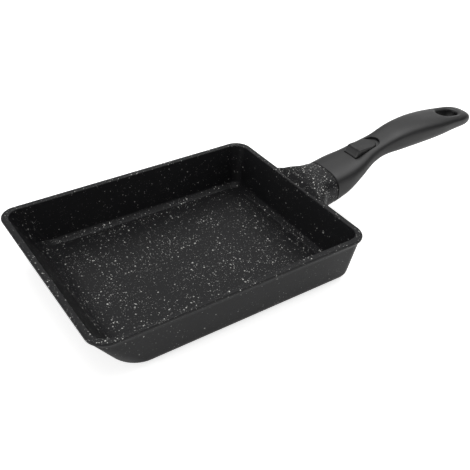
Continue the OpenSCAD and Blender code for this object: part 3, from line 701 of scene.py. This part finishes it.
lock = {"sleeveEnd": 31, "sleeveLow": -0.6, "sleeveHigh": 7, "sleeveHalf": 9, "chamberHigh": 10.5,
    "chamberHalf": 8.4, "carrierHigh": 10.4, "ledgeLow": 2.5, "ledgeEnd": 38.2, "coverStart": 33.5,
    "coverEnd": 48.7, "coverHalf": 7.5, "clearance": 0.2, "slotEnd": 54.7, "slitEnd": 58.7, "slitHigh": 12.2,
    "slitLap": 8, "buttonStart": 27.7, "buttonHalf": 6.5, "guideRise": 6.6, "springReach": 3.1,
    "pocketEnd": 66.1, "guideEnd": 70.1, "guideRadius": 1.3, "coverTip": 6.5, "coverScrewAt": 36,
    "coverScrewY": 4.4, "smallHole": 1.15, "sleeveScrewAt": 12, "sleeveHole": 1.55, "sleeveHead": 3.2,
    "sleeveSeat": -5, "coverSeat": 0.4, "smallHead": 2.2, "slotRound": 0.25, "ledgeHalf": 6.2}
far = 60  # mm, past the skin from any place inside
spare = 0.05  # mm of play round what is let into the handle


def handleRing(x, trim=0, narrow=1, low=1):
    h = curveAt(handleKnots, 2, x) * low / 2 - trim
    c = curveAt(handleKnots, 3, x)
    return eggRing((seam["x"] + x, seam["height"] + c + h), (seam["x"] + x, seam["height"] + c - h),
        curveAt(handleKnots, 1, x) * narrow - 2 * trim)


def handleSkin(v):
    rings = [handleRing(v["gap"] + v["soft"] * (1 - cos(radians(a))), v["soft"] * (1 - sin(radians(a))))
        for a in (0, 30, 60, 90)]
    body = v["length"] - v["endRadius"]
    start = v["gap"] + 2 * v["soft"]
    rings += [handleRing(start + (body - start) * i / v["steps"]) for i in range(v["steps"] + 1)]
    for turn in v["endTurns"]:
        a = radians(turn)
        rings.append(handleRing(v["length"] - v["endRadius"] * (1 - sin(a)), 0, cos(a) ** v["endNarrowing"],
            cos(a) ** v["endTaper"]))
    return skinMesh("handleSkin", rings)


# Outline of a stadium in line with the handle, grown on all sides
def stadium(centre, length, width, grow, steps=28):
    r = width / 2 + grow
    run = (length - width) / 2
    return [(centre + (run if end == 0 else -run) + r * sin(pi * s / steps + pi * end),
        r * cos(pi * s / steps + pi * end)) for end in (0, 1) for s in range(steps + 1)]


# Hole with a rounded mouth that follows the skin it is cut in: outline is a function of how far it grows,
# lift takes a point of it into space, start is the slope in degrees at which the round meets the skin,
# and outside is how far off, in mm, the search for the skin begins
def mouthTool(tree, outline, lift, along, width, depth, deep, steps=8, start=65, outside=40):
    up = Vector(along)

    def onSkin(grow, below):
        ring = []
        for point in outline(grow):
            hit = tree.ray_cast(lift(point) + up * outside, -up)[0]
            ring.append((lift(point) if hit is None else hit) - up * below)
        return ring

    a0 = radians(start)
    slope = depth * cos(a0) * (1 - cos(a0)) / (sin(a0) ** 2 * width)
    rim = beyond / 2
    rings = [[p + up * 12 * beyond for p in onSkin(width + rim, 0)], onSkin(width + rim, -rim * slope)]
    for i in range(steps + 1):
        a = a0 * (1 - i / steps)
        rings.append(onSkin(width * (1 - cos(a)) / (1 - cos(a0)), depth * (1 - sin(a) / sin(a0))))
    rings.append([p - up * deep for p in onSkin(0, depth)])
    return skinMesh("mouthTool", rings)


def skinTree(piece):
    return BVHTree.FromPolygons([v.co for v in piece.data.vertices],
        [f.vertices for f in piece.data.polygons])


# Outline across the slide that is square in front and round behind
def roundedEnd(start, end, half, steps=24):
    centre = end - half
    return [(start, half)] + [(centre + half * sin(pi * i / steps), half * cos(pi * i / steps))
        for i in range(steps + 1)] + [(start, -half)]


# Outline of the button's slot: square in front, round behind
def slotOutline(grow, steps=24):
    half = lock["buttonHalf"] + lock["clearance"] + grow
    start = lock["buttonStart"] - lock["clearance"] - grow
    centre = lock["slotEnd"] - lock["buttonHalf"] - lock["clearance"]
    points = [(centre + half * sin(pi * i / steps), half * cos(pi * i / steps)) for i in range(steps + 1)]
    points += [(centre + (start - centre) * i / steps, -half) for i in range(1, steps + 1)]
    points += [(start, -half + 2 * half * i / steps) for i in range(1, steps + 1)]
    points += [(start + (centre - start) * i / steps, half) for i in range(1, steps)]
    return points


def mouldHandle():
    skin = handleSkin(handle)
    tree = skinTree(skin)
    k = lock
    c = k["clearance"]
    ahead = -5 * beyond
    tools = [
        slideBar(ahead, k["sleeveEnd"] + 2 * spare, k["sleeveHalf"] + spare, k["sleeveLow"] - spare,
            k["sleeveHigh"] + spare),
        slideBar(ahead, k["slotEnd"] + c, k["chamberHalf"], k["sleeveHigh"], k["chamberHigh"]),
        slideBar(k["ledgeEnd"], k["slotEnd"] + c, k["ledgeHalf"], k["ledgeLow"] - spare,
            k["sleeveHigh"] + beyond),
        slideBar(k["coverStart"] - c, k["coverEnd"] + c, k["coverHalf"] + c, -far, k["ledgeLow"]),
        slidePost(k["sleeveScrewAt"], 0, -far, k["sleeveLow"], k["sleeveHole"]),
        slidePost(k["sleeveScrewAt"], 0, -far, k["sleeveSeat"], k["sleeveHead"]),
        slideRod(k["slotEnd"] - 2 * beyond, k["pocketEnd"], k["guideRise"], k["springReach"]),
        slideRod(k["slotEnd"] - 2 * beyond, k["guideEnd"], k["guideRise"], k["guideRadius"])]
    tools += [slidePost(k["coverScrewAt"], y, 0, k["coverTip"], k["smallHole"])
        for y in (-k["coverScrewY"], k["coverScrewY"])]
    tools.append(slotTool(tree))
    slitHalf = k["buttonHalf"] + c
    slit = roundedEnd(k["slotEnd"] - k["slitLap"], k["slitEnd"], slitHalf)
    tools.append(skinMesh("slit", [[onSlide(s, y, h) for s, y in slit]
        for h in (k["carrierHigh"] + spare, k["slitHigh"])]))
    h = hangHole
    for along, width, depth in ((1, h["dishWidth"], h["dishDepth"]), (-1, h["underWidth"], h["underDepth"])):
        tools.append(mouthTool(tree, lambda grow: stadium(seam["x"] + h["at"], h["length"], h["width"], grow),
            lambda p: Vector((p[0], p[1], seam["height"] + h["rise"])), (0, 0, along), width, depth,
            h["cutDepth"]))
    carve(skin, tools)
    finishPiece(skin, "handleShell", "handle", [handlePlastic], ["handle_body"])


# The button's slot, with a softened edge, from the skin down to the slide
def slotTool(tree, outside=50):
    def ring(grow, below):
        points = []
        for s, y in slotOutline(grow):
            hit = tree.ray_cast(Vector(onSlide(s, y, outside)), -slideUp)[0]
            points.append(hit - slideUp * below)
        return points

    soft, rim = lock["slotRound"], 0.3
    rings = [[p + slideUp * 8 * beyond for p in ring(soft + rim, 0)], ring(soft + rim, -rim)]
    rings += [ring(soft * (1 - sin(a)), soft * (1 - cos(a))) for a in (0, pi / 8, pi / 4, 3 * pi / 8, pi / 2)]
    rings.append([Vector(onSlide(s, y, lock["carrierHigh"])) for s, y in slotOutline(0)])
    return skinMesh("slotTool", rings)


mouldHandle()
print("handle moulded")

# Cover under the lock

hook = {"back": 3, "half": 6, "rise": 0.9, "reach": 2.5}  # tongue at the cover's end that catches the handle


def mouldCover():
    k = lock
    top = k["ledgeLow"] + hook["rise"]
    cover = handleSkin(handle)
    carve(cover, [slideBar(k["coverStart"], k["coverEnd"], k["coverHalf"], -far, k["ledgeLow"])], "INTERSECT")
    carve(cover, [
        slideBar(k["coverEnd"] - hook["back"], k["coverEnd"], hook["half"], k["ledgeLow"] - 0.5, top),
        slideBar(k["coverEnd"] - 2 * spare, k["coverEnd"] + hook["reach"], hook["half"], k["ledgeLow"], top)],
        "UNION")
    tools = []
    for y in (-k["coverScrewY"], k["coverScrewY"]):
        tools += [slidePost(k["coverScrewAt"], y, -far, far, k["smallHole"]),
            slidePost(k["coverScrewAt"], y, -far, k["coverSeat"], k["smallHead"])]
    carve(cover, tools)
    finishPiece(cover, "lockCover", "handle", [coverPlastic], ["underside_cover"])


mouldCover()
print("cover moulded")

# Thumb button

button = {"end": 51.3, "round": 0.9, "corner": 1.2, "dish": 0.35, "pegAt": 33.7, "pegRadius": 1.5,
    "screwAt": 40, "screwRadius": 1.15, "screwLow": 5, "screwTip": 13.5, "carrierLow": 8.4, "apronFrom": 43.8,
    "apronEnd": 55.5, "apronLow": 10.6, "apronHigh": 12, "apronRound": 0.25,
    "least": 0.02}  # half the width of the ring that closes the top
buttonSide = [  # places along the slide and the button's height there: steep front, crest, long back
    (27.7, 12.5), (29.6, 14.55), (31.3, 16.4), (31.9, 16.78), (32.5, 16.9), (36, 16.25), (43, 14.75),
    (49.3, 13.4), (50.4, 13.05), (51.3, 12.6)]


def buttonTop(s):
    s = max(buttonSide[0][0], min(buttonSide[-1][0], s))
    for (a, low), (b, high) in zip(buttonSide, buttonSide[1:]):
        if s <= b:
            return low + (high - low) * (s - a) / (b - a)
    return buttonSide[-1][1]


# D-shaped ring inside the button's outline, by how far it lies in from the edge
def buttonRing(inset, height):
    half = lock["buttonHalf"] - inset
    start, centre = lock["buttonStart"] + inset, button["end"] - lock["buttonHalf"]
    r = min(max(button["corner"] - inset, button["least"]), half)
    points = [(centre + half * sin(pi * s / 32), half * cos(pi * s / 32)) for s in range(33)]
    points += [(centre + (start + r - centre) * s / 25, -half) for s in range(1, 25)]
    points += [(start + r - r * sin(pi / 16 * s), -half + r - r * cos(pi / 16 * s)) for s in range(9)]
    points += [(start, (-half + r) + (2 * (half - r)) * s / 12) for s in range(1, 12)]
    points += [(start + r - r * cos(pi / 16 * s), half - r + r * sin(pi / 16 * s)) for s in range(9)]
    points += [(start + r + (centre - start - r) * s / 25, half) for s in range(1, 25)]
    return [onSlide(s, y, height(s)) for s, y in points]


def mouldButton(v):
    half, foot = lock["buttonHalf"], lock["carrierHigh"]
    rings = []
    for share in (0, 0.33, 0.66):
        rings.append(buttonRing(0, lambda s: foot + (buttonTop(s) - v["round"] - foot) * share))
    for a in range(0, 91, 15):
        inset = v["round"] * (1 - cos(radians(a)))
        rings.append(buttonRing(inset, lambda s: buttonTop(s) - v["round"] * (1 - sin(radians(a)))))
    for i in range(1, 15):
        inset = v["round"] + (half - v["least"] - v["round"]) * i / 14
        t = (inset - v["round"]) / (half - v["round"])
        sink = v["dish"] * t * t * (3 - 2 * t)
        rings.append(buttonRing(inset, lambda s: buttonTop(s) - sink))
    piece = skinMesh("thumbButton", rings)
    levels = ((v["apronLow"], 0), (v["apronHigh"] - v["apronRound"], 0), (v["apronHigh"], v["apronRound"]))
    apron = skinMesh("apron", [[onSlide(s, y, h)
        for s, y in roundedEnd(v["apronFrom"], v["apronEnd"] - trim, half - trim)] for h, trim in levels])
    peg = slidePost(v["pegAt"], 0, v["carrierLow"], foot + beyond, v["pegRadius"])
    carve(piece, [apron, peg], "UNION")
    carve(piece, [slidePost(v["screwAt"], 0, v["screwLow"], v["screwTip"], v["screwRadius"])])
    finishPiece(piece, "thumbButton", "button", [buttonPlastic], ["release_button"])


mouldButton(button)
print("button moulded")

# Return spring, a helix from one set of nodes

spring = {"start": 50.75, "length": 15, "turns": 8, "diameter": 4.6, "wire": 0.6}


def windSpring(values):
    tree = bpy.data.node_groups.new("helix", "GeometryNodeTree")
    names = ("Turns", "Mean Radius", "Length", "Wire Radius")
    kinds = [(name, "NodeSocketFloat") for name in names] + [("Finish", "NodeSocketMaterial")]
    sockets = {name: tree.interface.new_socket(name, in_out="INPUT", socket_type=kind).identifier
        for name, kind in kinds}
    tree.interface.new_socket("Geometry", in_out="OUTPUT", socket_type="NodeSocketGeometry")
    given = addNode(tree, "NodeGroupInput")
    helix = addNode(tree, "GeometryNodeCurveSpiral", None, {"Resolution": 40, "Rotations": (given, "Turns"),
        "Start Radius": (given, "Mean Radius"), "End Radius": (given, "Mean Radius"),
        "Height": (given, "Length")})
    section = addNode(tree, "GeometryNodeCurvePrimitiveCircle", None,
        {"Resolution": 12, "Radius": (given, "Wire Radius")})
    wire = addNode(tree, "GeometryNodeCurveToMesh", None,
        {"Curve": helix, "Profile Curve": section, "Fill Caps": True})
    turned = addNode(tree, "GeometryNodeTransform", None, {"Geometry": wire,
        "Translation": onSlide(values["start"], 0, lock["guideRise"]),
        "Rotation": (0, pi / 2 - seam["tilt"], 0)})
    real = addNode(tree, "GeometryNodeRealizeInstances", None, {"Geometry": turned})
    dressed = addNode(tree, "GeometryNodeSetMaterial", None,
        {"Geometry": real, "Material": (given, "Finish")})
    addNode(tree, "NodeGroupOutput", None, {"Geometry": dressed})
    piece = bpy.data.objects.new("returnSpring", bpy.data.meshes.new("returnSpring"))
    scene.collection.objects.link(piece)
    step = piece.modifiers.new("helix", "NODES")
    step.node_group = tree
    for name, value in (("Turns", float(values["turns"])), ("Mean Radius", values["diameter"] / 2),
            ("Length", float(values["length"])), ("Wire Radius", values["wire"] / 2),
            ("Finish", springSteel)):
        step[sockets[name]] = value
    graph = bpy.context.evaluated_depsgraph_get()
    mesh = bpy.data.meshes.new_from_object(piece.evaluated_get(graph))
    piece.modifiers.clear()
    piece.data = mesh
    finishPiece(piece, "returnSpring", "handle", [springSteel], ["return_spring"], 60)
    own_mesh(piece)


windSpring(spring)
print("spring wound")

# Finishes of the CAD nodes that stay

nodeFinish = {
    "lock_sleeve": sleeveSteel, "latch_leaf": springSteel, "leaf_rivets": zincSteel,
    "button_carrier": carrierPlastic, "button_screw": zincSteel, "sleeve_screw": zincSteel,
    "cover_screws": zincSteel, "spring_guide_pin": sleeveSteel}
for nodeName, finish in nodeFinish.items():
    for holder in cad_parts[nodeName].material_slots:
        holder.material = finish
print("kept parts dressed")
